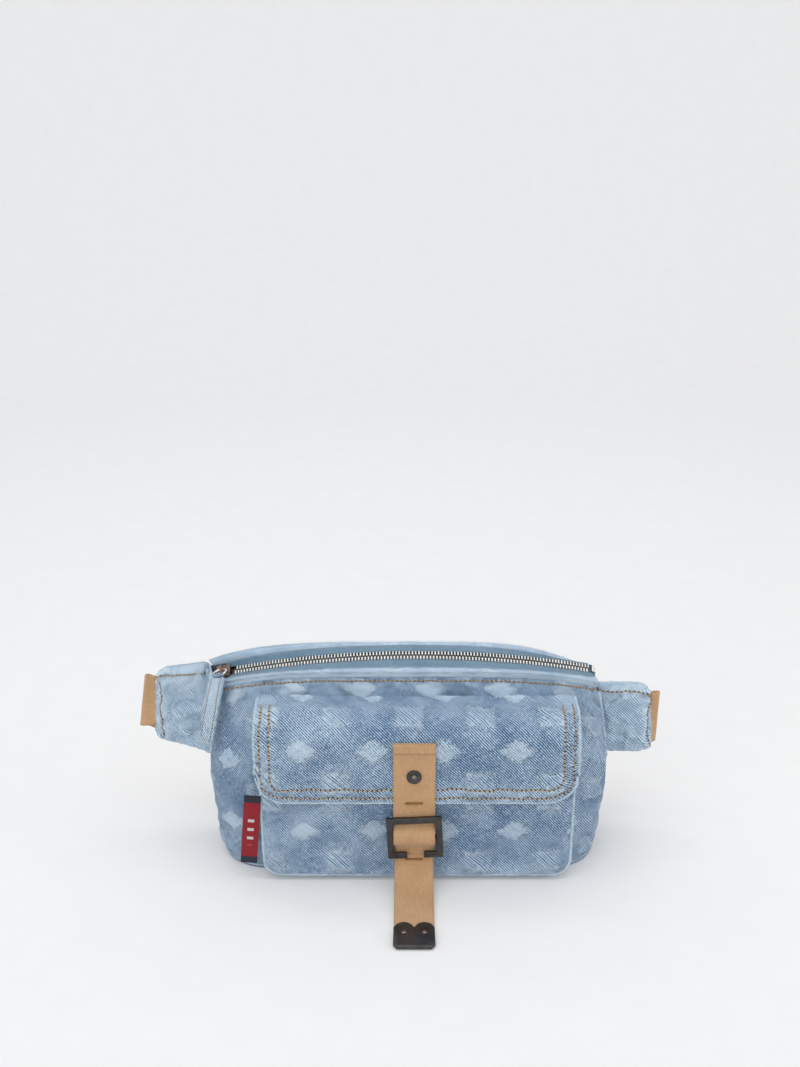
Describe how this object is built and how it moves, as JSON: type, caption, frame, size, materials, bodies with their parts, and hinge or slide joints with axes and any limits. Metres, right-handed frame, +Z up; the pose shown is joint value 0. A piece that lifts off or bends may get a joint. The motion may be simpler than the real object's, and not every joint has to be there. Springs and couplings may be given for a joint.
{
  "type": "waist pack",
  "caption": "Denim waist pack with a curved-zip main compartment, flap pocket with webbing strap and slotted hook buckle, belt wings and a folded webbing belt with side-release buckle.",
  "frame": {"origin": "under the middle of the base, on the plane it stands on, midway between the base's two ends", "axes": "+Z up, -Y out of the pocket's front, +X to the right seen from the front"},
  "size_m": [0.3953, 0.1956, 0.1577],
  "materials": {
    "denim": "bleached blue twill",
    "denim_dark": "blue twill",
    "lining": "plain woven lining",
    "zip_tape": "woven zip tape",
    "zip_metal": "satin silver",
    "webbing": "ribbed woven webbing",
    "gunmetal": "satin dark grey",
    "thread": "twisted sewing thread",
    "label": "woven label",
    "black_plastic": "fine satin"
  },
  "bodies": {
    "root": {"base_panel": "denim_dark", "front_panel": "denim", "side_gusset_left": "denim", "side_gusset_right": "denim", "back_panel": "denim_dark", "main_lining": "lining", "zip_teeth_front": "zip_metal", "zip_teeth_rear": "zip_metal", "zip_tape_front": "zip_tape", "zip_tape_rear": "zip_tape", "front_binding": "denim", "rear_binding": "denim", "zip_bottom_stop": "zip_metal", "pocket_front": "denim", "pocket_lining": "lining", "pocket_gusset": "denim", "snap_socket": "gunmetal", "side_label": "label", "wing_left_front": "denim", "wing_left_back": "denim", "wing_right_front": "denim", "wing_right_back": "denim", "belt_left": "webbing", "belt_run": "webbing", "belt_right": "webbing", "buckle_female": "black_plastic"},
    "slider": {"zip_slider": "zip_metal", "slider_bridge": "zip_metal"},
    "ring": {"pull_ring": "zip_metal"},
    "tab": {"pull_tab": "denim"},
    "flap": {"flap_outer": "denim", "flap_lining": "lining", "flap_strap": "webbing", "snap_cap": "gunmetal", "snap_stud": "gunmetal", "bar_tack_upper": "thread"},
    "hook": {"hook_buckle": "gunmetal", "strap_in_buckle": "webbing"},
    "tail": {"strap_tail": "webbing", "bar_tack_lower": "thread", "strap_tip": "gunmetal", "tip_rivet_left": "gunmetal", "tip_rivet_right": "gunmetal"},
    "male": {"buckle_male": "black_plastic"},
    "keeper": {"belt_keeper": "black_plastic"}
  },
  "joints": [
    {"name": "zip_travel", "type": "hinge", "parent": "root", "child": "slider", "pos_m": [0.00529, 0.25737, -0.12931], "axis": [-0.0014, 0.7525, 0.6585], "range_deg": [0, 38]},
    {"name": "ring_lift", "type": "hinge", "parent": "slider", "child": "ring", "pos_m": [-0.13673, 0.02328, 0.1379], "axis": [-0.9285, 0.2435, -0.2802], "range_deg": [0, 123.6]},
    {"name": "tab_swing", "type": "hinge", "parent": "ring", "child": "tab", "pos_m": [-0.13814, 0.01345, 0.13669], "axis": [-0.9285, 0.2435, -0.2802], "range_deg": [0, 76.1]},
    {"name": "flap_lift", "type": "hinge", "parent": "root", "child": "flap", "pos_m": [0, -0.0185, 0.1295], "axis": [-1, 0, 0], "range_deg": [0, 110]},
    {"name": "hook_swing", "type": "hinge", "parent": "flap", "child": "hook", "pos_m": [0.00365, -0.0514, 0.06], "axis": [-1, 0, 0], "range_deg": [0, 45]},
    {"name": "tail_swing", "type": "hinge", "parent": "hook", "child": "tail", "pos_m": [0.00365, -0.0514, 0.0244], "axis": [-1, 0, 0], "range_deg": [0, 35]},
    {"name": "buckle_release", "type": "slide", "parent": "root", "child": "male", "axis": [-1, 0, 0], "range_m": [0, 0.03], "deforming": ["belt_run"]},
    {"name": "keeper_slide", "type": "slide", "parent": "root", "child": "keeper", "axis": [1, 0, 0], "range_m": [-0.02, 0.01]}
  ],
  "couplings": [
    {"joint": "ring_lift", "follows": "zip_travel", "ratio": 3.25},
    {"joint": "tab_swing", "follows": "zip_travel", "ratio": 2}
  ]
}
